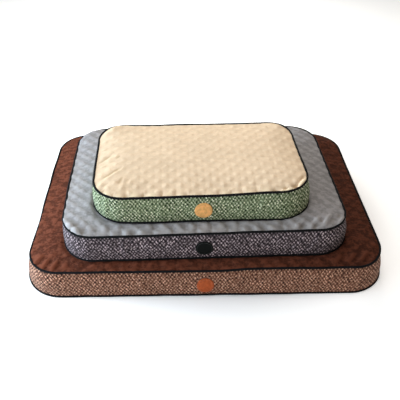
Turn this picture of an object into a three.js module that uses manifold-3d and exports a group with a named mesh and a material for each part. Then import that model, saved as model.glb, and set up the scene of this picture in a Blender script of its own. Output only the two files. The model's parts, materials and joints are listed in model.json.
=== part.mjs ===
// A pile of rectangular foam pet beds in graduated sizes, each one a zipped cover round a
// two-layer foam core. Millimetres, +Z up, +X to the right seen from the front (-Y).
// The origin is on the floor, under the middle of the pile.
import * as THREE from 'three';
import { mergeVertices } from 'three/addons/utils/BufferGeometryUtils.js';
import Module from 'manifold-3d';

const wasm = await Module();
wasm.setup();

// ---- Driving dimensions -------------------------------------------------------------
// Width and depth are those of the top seam; flare is how far the bottom seam stands
// outside it; shift and turn say how each bed lies on the pile; patch is the badge's centre
// on the front, along it and above the underside.
const BEDS = [
  { name: 'large', width: 1104, depth: 736, corner: 102, flare: 17, shift: [0, 0], turn: 0, patch: [-6, 42],
    top: 0x53301f, band: 0x9a7f63, badge: 0xb0562c },
  { name: 'medium', width: 876, depth: 578, corner: 96, flare: 9, shift: [-9, -27], turn: 1.3, patch: [-7, 45],
    top: 0x8b9097, band: 0x5c5b60, badge: 0x1d2622 },
  { name: 'small', width: 649, depth: 382, corner: 90, flare: 10, shift: [-20, -68], turn: 1.8, patch: [2, 45],
    top: 0xe6d8c2, band: 0x8b9578, badge: 0xc0712f },
];
const THICKNESS = 101.6;      // underside to the flat of the top
const GAP = 0.3;              // between pieces that touch
const CORNER_STEPS = 7;       // facets in each rounded corner

const PIPING_RADIUS = 3;
const PIPING_SIDES = 8;
const TOP_SEAM_DROP = 6;      // the top seam lies this far under the flat of the top
const PANEL = 2;              // base panel
const BAND = 2;               // side band
const FOAM_INSET = 8;         // from the top seam line in to the foam
const TOPPER = 28;            // memory foam layer
const CROWN = [[0, 3], [9, 6], [26, 8]];  // top panel: inset from its edge, height over its underside

const BADGE_RADIUS = 26.5;
const BADGE_THICKNESS = 2;
const BADGE_CHAMFER = 0.6;

const ZIP_HEIGHT = 36;        // centre of the zip above the underside
const ZIP_END = 24;           // from the end of the straight back to the end of the zip
const TAPE = { thick: 0.8, inner: 1, outer: 8.7 };
const TEETH = { thick: 1.8, inner: 0.8, outer: 3 };
const STOP = { length: 3, half: 3 };
const SLIDER = { length: 11, half: 4.6, plate: 1.2, rail: 1.1, neck: 0.9, neckLength: 4, under: 1 };
const BRIDGE = { half: 3, wide: 1.4, tunnel: 1.3, roof: 0.9, lift: 1.9 };
const PULL = { bar: 1.2, half: 4, length: 28, window: 2.2, windowEnd: 4.8 };

// Heights of the seams, measured in each bed
const TOP_SEAM = THICKNESS - TOP_SEAM_DROP;
const BOTTOM_SEAM = PIPING_RADIUS;
const BAND_LOW = BOTTOM_SEAM + PIPING_RADIUS + GAP;
const BAND_HIGH = TOP_SEAM - PIPING_RADIUS - GAP;

// ---- Shape helpers ------------------------------------------------------------------
// A rounded rectangle as points with outward normals, anticlockwise from the right of the back.
function outline(bed) {
  const points = [];
  for (let quarter = 0; quarter < 4; quarter += 1) {
    const middle = Math.PI / 4 + quarter * Math.PI / 2;
    const cx = Math.sign(Math.cos(middle)) * (bed.width / 2 - bed.corner);
    const cy = Math.sign(Math.sin(middle)) * (bed.depth / 2 - bed.corner);
    for (let step = 0; step <= CORNER_STEPS; step += 1) {
      const angle = (quarter + step / CORNER_STEPS) * Math.PI / 2;
      const [nx, ny] = [Math.cos(angle), Math.sin(angle)];
      points.push({ x: cx + bed.corner * nx, y: cy + bed.corner * ny, nx, ny });
    }
  }
  return points;
}

function solidFrom(positions, index) {
  const geometry = new THREE.BufferGeometry();
  geometry.setAttribute('position', new THREE.Float32BufferAttribute(positions, 3));
  geometry.setIndex(index);
  return geometry;
}

// One row of vertices for each outline point, one vertex for each [offset, height] of the section.
function rows(points, section) {
  return points.flatMap(({ x, y, nx, ny }) => (
    section.flatMap(([offset, height]) => [x + nx * offset, y + ny * offset, height])
  ));
}

function quad(index, a, b, c, d) {
  index.push(a, b, c, a, c, d);
}

// A strip swept along the outline: a whole ring, or an open run closed by its two ends.
// The section goes anticlockwise with the offset to the right and the height up.
function strip(points, section, ring) {
  const index = [];
  const [count, sides] = [points.length, section.length];
  for (let row = 0; row < (ring ? count : count - 1); row += 1) {
    const next = (row + 1) % count;
    for (let side = 0; side < sides; side += 1) {
      const after = (side + 1) % sides;
      quad(index, row * sides + side, next * sides + side, next * sides + after, row * sides + after);
    }
  }
  if (!ring) {
    const last = (count - 1) * sides;
    for (let side = 1; side < sides - 1; side += 1) {
      index.push(0, side, side + 1);
      index.push(last, last + side + 1, last + side);
    }
  }
  return solidFrom(rows(points, section), index);
}

// A solid slab: the section's [offset, height] points run from its underside up to its top.
function slab(points, section) {
  const index = [];
  const [count, sides] = [points.length, section.length];
  for (let row = 0; row < count; row += 1) {
    const next = (row + 1) % count;
    for (let side = 0; side < sides - 1; side += 1) {
      quad(index, row * sides + side, next * sides + side, next * sides + side + 1, row * sides + side + 1);
    }
    index.push(count * sides, next * sides, row * sides);
    index.push(count * sides + 1, row * sides + sides - 1, next * sides + sides - 1);
  }
  const centres = [0, 0, section[0][1], 0, 0, section[sides - 1][1]];
  return solidFrom([...rows(points, section), ...centres], index);
}

function box(xLow, xHigh, yLow, yHigh, zLow, zHigh) {
  const geometry = new THREE.BoxGeometry(xHigh - xLow, yHigh - yLow, zHigh - zLow);
  return geometry.translate((xLow + xHigh) / 2, (yLow + yHigh) / 2, (zLow + zHigh) / 2);
}

function toManifold(geometry) {
  const bare = geometry.clone();
  bare.deleteAttribute('normal');
  bare.deleteAttribute('uv');
  const merged = mergeVertices(bare, 1e-4);
  return new wasm.Manifold(new wasm.Mesh({
    numProp: 3,
    vertProperties: new Float32Array(merged.attributes.position.array),
    triVerts: new Uint32Array(merged.index.array),
  }));
}

function fromManifold(solid) {
  const mesh = solid.getMesh();
  return solidFrom(Array.from(mesh.vertProperties), Array.from(mesh.triVerts));
}

function join(...geometries) {
  return fromManifold(geometries.map(toManifold).reduce((whole, piece) => whole.add(piece)));
}

function cut(geometry, tool) {
  return fromManifold(toManifold(geometry).subtract(toManifold(tool)));
}

// ---- Soft parts ---------------------------------------------------------------------
// The side band leans in from the bottom seam to the top seam.
function lean(bed, height) {
  return bed.flare * (TOP_SEAM - height) / (TOP_SEAM - BOTTOM_SEAM);
}

function bandSection(bed, low, high) {
  const half = BAND / 2;
  return [
    [lean(bed, low) - half, low],
    [lean(bed, low) + half, low],
    [lean(bed, high) + half, high],
    [lean(bed, high) - half, high],
  ];
}

function piping(bed, points, height) {
  const section = [];
  for (let side = 0; side < PIPING_SIDES; side += 1) {
    const angle = (side + 0.5) / PIPING_SIDES * 2 * Math.PI;
    const radius = PIPING_RADIUS / Math.cos(Math.PI / PIPING_SIDES);
    section.push([lean(bed, height) + radius * Math.cos(angle), height + radius * Math.sin(angle)]);
  }
  return strip(points, section, true);
}

function topPanel(points) {
  const edge = -PIPING_RADIUS - GAP;
  const highest = CROWN[CROWN.length - 1][1];
  const under = THICKNESS - highest;
  const section = [[edge, under], ...CROWN.map(([inset, rise]) => [edge - inset, under + rise])];
  return slab(points, section);
}

function foam(bed, points, low, high) {
  return slab(points, [[lean(bed, low) - FOAM_INSET, low], [lean(bed, high) - FOAM_INSET, high]]);
}

function basePanel(bed, points) {
  const edge = lean(bed, BOTTOM_SEAM) - PIPING_RADIUS - GAP;
  return slab(points, [[edge, 0], [edge, PANEL]]);
}

function badge(bed) {
  const [along, height] = bed.patch;
  const [rim, face] = [BADGE_RADIUS - BADGE_CHAMFER, BADGE_THICKNESS - BADGE_CHAMFER];
  const profile = [[0, 0], [BADGE_RADIUS, 0], [BADGE_RADIUS, face], [rim, BADGE_THICKNESS], [0, BADGE_THICKNESS]];
  const disc = new THREE.LatheGeometry(profile.map(([r, y]) => new THREE.Vector2(r, y)), 32);
  const tilt = Math.atan2(bed.flare, TOP_SEAM - BOTTOM_SEAM);
  const out = lean(bed, height) + BAND / 2 + GAP;
  disc.rotateX(Math.PI).rotateX(-tilt);
  return disc.translate(along, -bed.depth / 2 - out, height);
}

// ---- Zip in the back band -----------------------------------------------------------
// Its pieces are laid out along X; "out" is measured from the tape's middle, away from the bed.
function zipPlane(bed) {
  return bed.depth / 2 + lean(bed, ZIP_HEIGHT);
}

function zipHalf(bed) {
  return bed.width / 2 - bed.corner - ZIP_END;
}

function zipBar(bed, half, outLow, outHigh, low, high) {
  const y = zipPlane(bed);
  return box(-half, half, y + outLow, y + outHigh, ZIP_HEIGHT + low, ZIP_HEIGHT + high);
}

function zipTape(bed, side) {
  const half = TAPE.thick / 2;
  const edges = [side * TAPE.inner, side * TAPE.outer].sort((a, b) => a - b);
  return zipBar(bed, bed.width / 2 - bed.corner - GAP, -half, half, ...edges);
}

function teethOut() {
  return TAPE.thick / 2 + GAP;
}

function zipTeeth(bed, side) {
  const edges = [side * TEETH.inner, side * TEETH.outer].sort((a, b) => a - b);
  return zipBar(bed, zipHalf(bed), teethOut(), teethOut() + TEETH.thick, ...edges);
}

function zipStop(bed, side) {
  const near = zipHalf(bed) + GAP;
  const ends = [side * near, side * (near + STOP.length)].sort((a, b) => a - b);
  const y = zipPlane(bed) + teethOut();
  return box(...ends, y, y + TEETH.thick, ZIP_HEIGHT - STOP.half, ZIP_HEIGHT + STOP.half);
}

// Slider and pull are made round the slider's centre, with Y out of the bed.
const PLATE_LOW = teethOut() + TEETH.thick + GAP;
const PLATE_HIGH = PLATE_LOW + SLIDER.plate;
const PULL_AXIS = PLATE_HIGH + BRIDGE.lift;

function slider() {
  const end = SLIDER.length / 2;
  const railLow = TAPE.thick / 2 + 2 * GAP;
  const railInner = SLIDER.half - SLIDER.rail;
  const underHigh = -TAPE.thick / 2 - SLIDER.under / 2;
  const arch = new THREE.CylinderGeometry(BRIDGE.half, BRIDGE.half, BRIDGE.wide, 20);
  arch.rotateX(Math.PI / 2).scale(1, (BRIDGE.tunnel + BRIDGE.roof) / BRIDGE.half, 1);
  arch.translate(0, PULL_AXIS, 0);
  const tunnel = new THREE.CylinderGeometry(BRIDGE.tunnel, BRIDGE.tunnel, 2 * BRIDGE.wide, 16);
  tunnel.rotateX(Math.PI / 2).translate(0, PULL_AXIS, 0);
  const foot = BRIDGE.wide / 2;
  const legs = box(-BRIDGE.half, BRIDGE.half, PLATE_HIGH - GAP, PULL_AXIS, -foot, foot);
  const neck = SLIDER.neck / 2;
  const body = join(
    box(-end, end, PLATE_LOW, PLATE_HIGH, -SLIDER.half, SLIDER.half),
    box(-end, end, railLow, PLATE_LOW + GAP, railInner, SLIDER.half),
    box(-end, end, railLow, PLATE_LOW + GAP, -SLIDER.half, -railInner),
    box(end - SLIDER.neckLength, end, underHigh - GAP, PLATE_LOW + GAP, -neck, neck),
    box(-end, end, underHigh - SLIDER.plate, underHigh, -SLIDER.half, SLIDER.half),
    cut(join(arch, legs), tunnel),
  );
  return body;
}

function pull() {
  const half = PULL.bar / 2;
  const tab = new THREE.Shape();
  const round = PULL.half / 2;
  tab.moveTo(half, -PULL.half);
  tab.lineTo(half, PULL.half);
  tab.lineTo(round - PULL.length, PULL.half);
  tab.absarc(round - PULL.length, round, round, Math.PI / 2, Math.PI, false);
  tab.absarc(round - PULL.length, -round, round, Math.PI, 1.5 * Math.PI, false);
  const plate = new THREE.ExtrudeGeometry(tab, { depth: PULL.bar, bevelEnabled: false, curveSegments: 5 });
  plate.rotateX(Math.PI / 2).translate(0, PULL_AXIS + half, 0);
  const over = PULL.bar;
  const window = box(-PULL.windowEnd, -half, PULL_AXIS - over, PULL_AXIS + over, -PULL.window, PULL.window);
  return cut(plate, window);
}

// ---- Assembly -----------------------------------------------------------------------
const FABRIC = { roughness: 0.95, metalness: 0 };
const METAL = { roughness: 0.4, metalness: 1 };
const BLACK = 0x121214;
const FOAM_BASE_COLOUR = 0xe9dfc6;
const FOAM_TOPPER_COLOUR = 0xf3edd9;
const STEEL = 0x8d8f92;

function addTo(group, name, geometry, colour, finish) {
  const material = new THREE.MeshStandardMaterial({ color: colour, ...finish });
  const mesh = new THREE.Mesh(geometry, material);
  mesh.name = name;
  group.add(mesh);
  return mesh;
}

function makeBed(bed, level) {
  const group = new THREE.Group();
  const points = outline(bed);
  const add = (part, geometry, colour, finish = FABRIC) => (
    addTo(group, `${bed.name}_${part}`, geometry, colour, finish)
  );

  // The straight of the back runs between outline points CORNER_STEPS and CORNER_STEPS + 1.
  const rearStart = points[CORNER_STEPS];
  const rearEnd = points[CORNER_STEPS + 1];
  const inFromEnds = [{ ...rearStart, x: rearStart.x - GAP }, { ...rearEnd, x: rearEnd.x + GAP }];
  const roundTheFront = [...points.slice(CORNER_STEPS + 1), ...points.slice(0, CORNER_STEPS + 1)];

  const foamSplit = THICKNESS - CROWN[CROWN.length - 1][1] - GAP - TOPPER;
  add('foam_base', foam(bed, points, PANEL + GAP, foamSplit - GAP), FOAM_BASE_COLOUR);
  add('foam_topper', foam(bed, points, foamSplit, foamSplit + TOPPER), FOAM_TOPPER_COLOUR);
  add('top_panel', topPanel(points), bed.top);
  add('bottom_panel', basePanel(bed, points), BLACK);
  add('front_band', strip(roundTheFront, bandSection(bed, BAND_LOW, BAND_HIGH), false), bed.band);
  const zipEdge = TAPE.outer + GAP;
  const lowerBand = bandSection(bed, BAND_LOW, ZIP_HEIGHT - zipEdge);
  const upperBand = bandSection(bed, ZIP_HEIGHT + zipEdge, BAND_HIGH);
  add('rear_band_lower', strip(inFromEnds, lowerBand, false), bed.band);
  add('rear_band_upper', strip(inFromEnds, upperBand, false), bed.band);
  add('top_piping', piping(bed, points, TOP_SEAM), BLACK);
  add('bottom_piping', piping(bed, points, BOTTOM_SEAM), BLACK);
  add('badge', badge(bed), bed.badge);

  for (const [side, word] of [[1, 'upper'], [-1, 'lower']]) {
    add(`zip_tape_${word}`, zipTape(bed, side), BLACK);
    add(`zip_teeth_${word}`, zipTeeth(bed, side), BLACK);
  }
  for (const [side, word] of [[-1, 'left'], [1, 'right']]) {
    add(`zip_stop_${word}`, zipStop(bed, side), STEEL, METAL);
  }
  const shut = zipHalf(bed) - SLIDER.length / 2 - GAP;
  for (const [word, geometry] of [['slider', slider()], ['pull', pull()]]) {
    add(`zip_${word}`, geometry, STEEL, METAL).position.set(shut, zipPlane(bed), ZIP_HEIGHT);
  }

  group.position.set(...bed.shift, level * (THICKNESS + GAP));
  group.rotation.z = THREE.MathUtils.degToRad(bed.turn);
  return group;
}

const group = new THREE.Group();
BEDS.forEach((bed, level) => group.add(makeBed(bed, level)));

export default group;
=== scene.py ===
"""Looks for a pile of three foam pet beds: plush tops, printed bands, piping, patches and zips.

Everything is in metres. Each bed is made in its own axes (X along the front, -Y to the
front, Z up from its underside), and then placed where the CAD frame has it.
"""
import json
import math

import bpy
import numpy as np
from mathutils import Matrix, Vector, noise
from mathutils.bvhtree import BVHTree


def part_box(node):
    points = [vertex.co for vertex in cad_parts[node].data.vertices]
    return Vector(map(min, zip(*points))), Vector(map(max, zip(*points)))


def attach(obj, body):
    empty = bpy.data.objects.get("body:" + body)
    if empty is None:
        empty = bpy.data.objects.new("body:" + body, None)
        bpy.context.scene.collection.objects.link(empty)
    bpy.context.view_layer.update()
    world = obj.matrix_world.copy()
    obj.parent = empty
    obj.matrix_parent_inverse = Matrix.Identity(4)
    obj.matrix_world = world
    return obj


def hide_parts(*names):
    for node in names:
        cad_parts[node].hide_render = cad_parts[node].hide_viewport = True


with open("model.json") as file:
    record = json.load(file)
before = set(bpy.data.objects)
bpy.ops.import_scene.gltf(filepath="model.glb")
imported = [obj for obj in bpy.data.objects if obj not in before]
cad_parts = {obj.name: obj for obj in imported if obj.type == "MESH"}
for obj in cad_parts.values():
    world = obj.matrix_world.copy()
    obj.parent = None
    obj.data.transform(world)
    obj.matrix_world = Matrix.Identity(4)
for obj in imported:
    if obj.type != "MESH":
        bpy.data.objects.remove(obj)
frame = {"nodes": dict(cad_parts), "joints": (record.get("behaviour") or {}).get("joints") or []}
bpy.context.view_layer.update()

# ---- Sizes -----------------------------------------------------------------------------
MM = 0.001
PIPING_RADIUS = 3 * MM
CORD_RADIUS = 3.7 * MM    # the piping with its cloth, a little fatter than the CAD cord
CORD_SIDES = 14
PIPING_RIB = 9 * MM       # from one rib of the bias-cut piping cloth to the next
CORD_RIBS = 0.035         # how high the ribs stand, as a share of the cord
SEAM_WANDER = (1.6 * MM, 1.4 * MM)  # how far a seam wanders in and out, and up and down
SEAM_SWING = (90 * MM, 110 * MM)    # about how far it is from one swing to the next
CORNER_CELLS = 8          # cells in half of a rounded corner
BAND_LEVELS = 11          # rows of cells from the top seam to the bottom seam
UPPER_LEVELS = 6          # of them above the zip; two more cross the zip
EVENING_ROUNDS = 40       # how often a sheet's points are evened out

PLUSH_THICKNESS = 3.5 * MM
CANVAS_THICKNESS = 1.4 * MM
BASE_THICKNESS = 0.8 * MM
PATCH_THICKNESS = 2.2 * MM
PUFF = 8 * MM             # how far the plush stands over its seam before the simulation
PUFF_RISE = 13 * MM       # about how far from the seam it gets there
BASE_HEIGHT = 1.2 * MM    # of the base cloth over the bed's underside
BASE_RISE = 12 * MM       # how far from the bottom seam it gets there
BAND_BULGE = 5 * MM
BACK_BULGE = 3 * MM       # on the straight back, where the zip holds the band flatter
BULGE_CELLS = 3           # cells over which the band's bulge changes to that
BAND_SLACK = 2.2 * MM     # depth of the band's slack folds
SLACK_EDGE = 15 * MM      # how far from each seam they are that deep
TOP_GATHERS = (1.6 * MM, 15 * MM, 11 * MM)  # height, spacing and reach of those under the top seam
BOTTOM_GATHERS = (1.2 * MM, 24 * MM, 12 * MM)
FRONT_STRIP = 80 * MM     # how far from the front edge the top has its high puckers
FRONT_FADE = 50 * MM      # the part of that over which they fade
BACK_PUCKERS = 0.15       # height of the top's puckers away from the front, as a share
FULL_RISE = 4 * MM        # about how far from the seam the full places get their height
BUMPS = (60 * MM, 24 * MM)  # size of the slow bumps all over, and of the half as high ones on them
BUMP_EDGE = 20 * MM       # how far from the seam they have their height
CREASE_DEPTH = 2.5 * MM   # a crease this deep gets its full painted shade in the plush's colour
HOLLOW_SLOPE = 0.75       # of the edge of the hollow a bed lies in
HOLLOW_LIP = 1 * MM       # how far in under that bed the edge starts
HOLLOW_GAP = 0.2 * MM     # how far the pressed plush stays below its CAD solid's top

DOT_PITCH = 43 * MM       # raised dots of pile along a row; the next row lies half a pitch back
DOT_RADIUS = 12 * MM
DOT_EDGE = 45 * MM        # how far from the seam the dots stand up fully
DOT_START = 6 * MM        # the strip along the seam in which they fade to nothing
DOT_WARP = 4 * MM         # how far the cloth's dots wander off straight rows
DOT_SWING = 200 * MM      # about how far it is from one such swing to the next
PRINT_WIDTH = 10.8 * MM   # the print repeats this far along the band, and this far up it
PRINT_HEIGHT = 14.5 * MM
PRINT_WANDER = 7 * MM     # how far the print's rows may wander
LEAN_BACK = 0.35          # share of the print's strokes that lean to the left

CLOTH_FRAMES = 18
CLOTH_CAP = 10 * MM       # how far the simulation may move a point
HOLD = 0.03               # how firmly foam holds the cloth in the middle of the top
HOLD_WIDTH = 90 * MM      # how far from the seam it is held so
SPARE_CLOTH = 0.1         # share of extra cloth gathered into the seams
GATHER_WIDTH = 75 * MM    # how far from the seam there is spare cloth
GATHER_SWING = 130 * MM   # from one stretch with more of it to the next
CLOTH = {
    "quality": 5, "mass": 0.25, "tension_stiffness": 60, "compression_stiffness": 60,
    "shear_stiffness": 15, "bending_stiffness": 0.03, "air_damping": 3,
    "vertex_group_mass": "hold", "pin_stiffness": 1, "vertex_group_shrink": "gather",
    "shrink_min": 0, "shrink_max": -SPARE_CLOTH, "use_pressure": True, "uniform_pressure_force": 4,
}

FOAM_ROOM = 2.5 * MM      # how far the foam stays below its CAD solid's top, for the plush
FOAM_EASE = 6 * MM        # radius of its edges
TAPE_HIDDEN = 4 * MM      # how far the zip tape runs in behind the band
TAPE_GAP = 0.3 * MM       # between the two halves of the tape, behind the teeth
TAPE_ROWS = 6
TOOTH_PITCH = 1.7 * MM
# One coil tooth: share of its reach, of the pitch across and of its thickness, from the middle out.
TOOTH = ((0.0, 0.36, 0.55), (0.16, 0.46, 0.95), (0.45, 0.30, 1.0), (0.8, 0.36, 1.0), (1.0, 0.30, 0.7))
TOOTH_SIDES = 8
STITCH_SIDES = 6
STITCH_RINGS = 5
PATCH_STITCH = (-0.3, 0.3)  # where in its pitch a stitch starts and ends
ZIP_STITCH = (0.1, 0.75)  # the same along the zip
ZIP_THREAD = 0.4 * MM     # radius of the thread
ZIP_STITCH_INSET = 3.2 * MM
ZIP_STITCH_PITCH = 3.2 * MM
ZIP_STITCH_STOP = 4 * MM  # how far before the tape's end the row stops
METAL_EASE = 0.25 * MM    # radius of the metal's eased edges
PATCH_SIDES = 64
PATCH_THREAD = 0.5 * MM
PATCH_STITCHES = 44
PATCH_GROOVE = (0.86, 0.85)  # where the stitches lie, in the terms of the section below
# Share of the patch's radius and of its thickness, from the middle of the face, over a pressed
# ring and the stitched groove, round the edge and back to the middle of the underside.
PATCH_SECTION = (
    (0.25, 1.0), (0.5, 1.0), (0.60, 1.0), (0.63, 0.8), (0.66, 1.0), (0.74, 1.0), (0.82, 0.98),
    (0.86, 0.8), (0.90, 0.98), (0.96, 0.9), (1.0, 0.55), (1.0, 0.1), (0.96, -0.2), (0.5, -0.2),
)

# Each bed's corner radius, cell size and the bed that lies on it; where its front seam climbs
# (from x to x, by that height); and its relief. The climb and these lists are in millimetres:
# - "full" places (x, y, radius, height), where the plush swells right from the seam;
# - "drawn" places (x, y, radius, in at the top, in at the bottom), where the seams are pulled in
#   or, below zero, pushed out;
# - "folds" in the top (x0, y0, x1, y1, width, height), each a ridge with a hollow to its right;
#   "creases" are the same on the band, by distance right of its middle and height.
# Then come:
# - "pucker" and "reach", the height of the creases along the top seam and how far in they go,
#   and "uneven", the height of slow bumps all over;
# - "dots", which keep the share "standing" of their height in the middle of the top and are
#   "longer" along each slant by that much;
# - "shade" and the next key: how strong the painted shade in creases and painted highlight on ridges
#   are.
BEDS = {
    "large": {
        "full": [(450, 310, 70, 8)],
        "corner": 102 * MM, "cell": 9.6 * MM, "under": "medium", "seed": 1.0,
        "climb": (40, 130, 7), "drawn": [(-565, -150, 150, 5, 3)],
        "pucker": 7.0 * MM, "reach": 16 * MM, "uneven": 1.2 * MM,
        "dots": 2.6 * MM, "standing": 0.5, "longer": (1.2, 1.0), "shade": 0.5, "ridge_highlight": 1.0,
        "folds": [
            (-530, -335, -500, -300, 7, 4.5), (-500, -358, -480, -315, 6, 5.5),
            (-470, -368, -455, -325, 6, 5.5), (385, -355, 420, -320, 7, 3.4),
            (425, -355, 465, -315, 7, 3.4), (470, -345, 505, -310, 7, 3.4),
        ],
        "creases": [
            (-205, 92, -197, 12, 7, 2.6), (-148, 95, -152, 50, 6, 2), (74, 92, 46, 10, 8, 3),
            (118, 92, 68, 8, 8, 3.2), (330, 88, 318, 30, 7, 2),
        ],
    },
    "medium": {
        "full": [(-405, 255, 55, 8)],
        "corner": 96 * MM, "cell": 8.8 * MM, "under": "small", "seed": 2.0,
        "climb": (-200, 250, 4), "drawn": [(-450, -230, 90, 5, 6), (430, -220, 80, 0, -6)],
        "pucker": 9.0 * MM, "reach": 26 * MM, "uneven": 1.2 * MM,
        "dots": 2.9 * MM, "standing": 0.7, "longer": (1.0, 1.8), "shade": 0.4, "ridge_highlight": 0.7,
        "folds": [
            (-372, -286, -425, -218, 9, 4.4), (262, -284, 302, -243, 7, 4.6),
            (305, -284, 352, -236, 7, 4.8), (345, -284, 390, -224, 7, 4.8),
            (434, -226, 396, -277, 8, 4.4),
        ],
        "creases": [
            (-250, 92, -242, 20, 8, 2), (345, 92, 312, 12, 7, 2.8), (300, 88, 262, 20, 7, 2.2),
        ],
    },
    "small": {
        "corner": 90 * MM, "cell": 7.4 * MM, "under": None, "seed": 3.0,
        "climb": (0, 280, 8), "drawn": [
            (-310, -170, 70, 0, 8), (335, -120, 80, -1, -9), (200, -200, 90, 0, -5),
            (-290, 165, 50, -9, -3), (300, 170, 45, -8, -3),
        ],
        "pucker": 9.0 * MM, "reach": 14 * MM, "uneven": 0.8 * MM,
        "dots": 2.2 * MM, "standing": 0.3, "longer": (1.0, 1.0), "shade": 0.6, "ridge_highlight": 0.6,
        "full": [(-295, 190, 60, 13), (305, 195, 50, 12)],
        "folds": [
            (-316, -28, -272, 10, 4.5, -2), (-262, -16, -246, 2, 4.5, -1.6),
            (-320, -48, -290, -30, 5, -1.2), (-308, -114, -237, -56, 4.5, -2.6),
            (-296, -146, -276, -124, 6, -1.4), (-246, -140, -236, -98, 7, -1.8),
            (-226, -142, -218, -112, 7, -1.6), (300, -176, 190, -204, 6, 4.6),
            (326, -120, 276, -192, 6, 4.2), (-30, 8, -4, 12, 4.5, -0.9), (38, 18, 66, 22, 4.5, -1.1),
            (98, -6, 155, 2, 4.5, -0.9),
        ],
        "creases": [
            (-288, 94, -290, 6, 9, 3), (-120, 92, -128, 30, 7, 1.6), (185, 92, 170, 20, 7, 2),
        ],
    },
}


# ---- Materials --------------------------------------------------------------------------
class Nodes:
    """Short ways of adding nodes to one node tree."""

    def __init__(self, tree):
        self.tree = tree

    def put(self, socket, value):
        if isinstance(value, bpy.types.NodeSocket):
            self.tree.links.new(value, socket)
        else:
            socket.default_value = value

    def add(self, kind, operation=None, **inputs):
        node = self.tree.nodes.new(f"ShaderNode{kind}")
        if operation:
            node.operation = operation
        for name, value in inputs.items():
            self.put(node.inputs[name.replace("_", " ")], value)
        return node

    def axes(self, coords):
        return self.add("SeparateXYZ", Vector=coords).outputs

    def math(self, operation, *values, clamp=False):
        node = self.add("Math", operation)
        node.use_clamp = clamp
        for socket, value in zip(node.inputs, values):
            self.put(socket, value)
        return node.outputs[0]

    def times(self, a, b, clamp=False):
        return self.math("MULTIPLY", a, b, clamp=clamp)

    def ease(self, value, low, high, start=0.0, end=1.0):
        """Goes smoothly from start to end while the value goes from low to high."""
        node = self.add("MapRange", Value=value, From_Min=low, From_Max=high, To_Min=start, To_Max=end)
        node.interpolation_type = "SMOOTHSTEP"
        return node.outputs["Result"]

    def mix(self, share, a, b):
        node = self.add("Mix")
        node.data_type = "RGBA"
        node.clamp_factor = True
        self.put(node.inputs["Factor"], share)
        for socket, value in ((node.inputs[6], a), (node.inputs[7], b)):
            self.put(socket, value if isinstance(value, bpy.types.NodeSocket) else (*value, 1))
        return node.outputs[2]

    def shades(self, value, low, high, colour, dark, light):
        """From a dark to a light shade of one colour while the value goes from low to high."""
        return self.mix(self.ease(value, low, high), scaled(colour, dark), scaled(colour, light))

    def sink(self, tone, value, low, high, most, colour):
        """Covers the share most of a tone with a colour at low, and none of it at high."""
        return self.mix(self.ease(value, low, high, most, 0.0), tone, colour)


class Look(Nodes):
    """One procedural material, kept in MATERIALS when it is finished."""

    def __init__(self, name, roughness=0.8, **shader):
        self.name = name
        self.material = bpy.data.materials.new(name)
        self.material.use_nodes = True
        super().__init__(self.material.node_tree)
        self.shader = self.tree.nodes["Principled BSDF"]
        self.shader.inputs["Roughness"].default_value = roughness
        for socket, value in shader.items():
            self.shader.inputs[socket.replace("_", " ")].default_value = value
        self.flat = self.attribute("flat").outputs["Vector"]
        self.space = self.add("TexCoord").outputs["Object"]

    def attribute(self, name):
        node = self.add("Attribute")
        node.attribute_name = name
        return node

    def stretched(self, coords, scale, turn=0.0):
        return self.add("Mapping", Vector=coords, Scale=scale, Rotation=(0, 0, turn)).outputs["Vector"]

    def noise(self, coords, scale, detail=2.0, distortion=0.0, turn=0.0):
        """Noise with one scale, or with one for each axis after a turn."""
        if isinstance(scale, tuple):
            coords, scale = self.stretched(coords, scale, turn), 1.0
        node = self.add("TexNoise", Vector=coords, Scale=scale, Detail=detail, Distortion=distortion)
        return node.outputs["Fac"]

    def cells(self, scale):
        return self.add("TexVoronoi", Vector=self.space, Scale=scale).outputs["Distance"]

    def chance(self, x, y, z):
        """White noise: one value and colour for each place with whole numbers."""
        place = self.add("CombineXYZ", X=x, Y=y, Z=z).outputs[0]
        return self.add("TexWhiteNoise", Vector=place).outputs

    def finish(self, tone, *bumps):
        """Sets the colour, and lays bumps (height, depth in millimetres, strength) on each other."""
        normal = self.shader.inputs["Normal"]
        for height, depth, strength in bumps:
            node = self.add("Bump", Height=height, Distance=depth * MM, Strength=strength)
            if normal.is_linked:
                self.put(node.inputs["Normal"], normal.links[0].from_socket)
            self.put(normal, node.outputs["Normal"])
        self.put(self.shader.inputs["Base Color"], tone)
        MATERIALS[self.name] = self.material


def scaled(colour, share):
    return tuple(min(1.0, c * share) for c in colour)


def distance(look, a, b):
    return look.math("SQRT", look.math("ADD", look.times(a, a), look.times(b, b)))


def slanting(look, coords, width, height):
    """Two slanting coordinates whose whole numbers meet at the points of staggered rows."""
    axes = look.axes(coords)
    x, y = look.times(axes[0], 1 / width), look.times(axes[1], 1 / height)
    return look.math("ADD", x, y), look.math("SUBTRACT", x, y)


def offset(look, value, centre):
    """How far a coordinate is from the nearest whole number ("ROUND") or cell middle ("FLOOR")."""
    near = look.math(centre, value)
    away = look.math("SUBTRACT", value, near)
    return (look.math("SUBTRACT", away, 0.5) if centre == "FLOOR" else away), near


def dot_mask(look, longer):
    """1 in the middle of each raised dot of pile, 0 outside it."""
    slants = slanting(look, look.flat, DOT_PITCH, DOT_PITCH)
    offsets = [offset(look, slant, "ROUND")[0] for slant in slants]
    a, b = [look.math("DIVIDE", away, share) for away, share in zip(offsets, longer)]
    away = look.times(distance(look, a, b), DOT_PITCH / math.sqrt(2))
    return look.ease(away, 0.25 * DOT_RADIUS, DOT_RADIUS, 1.0, 0.0)


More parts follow.
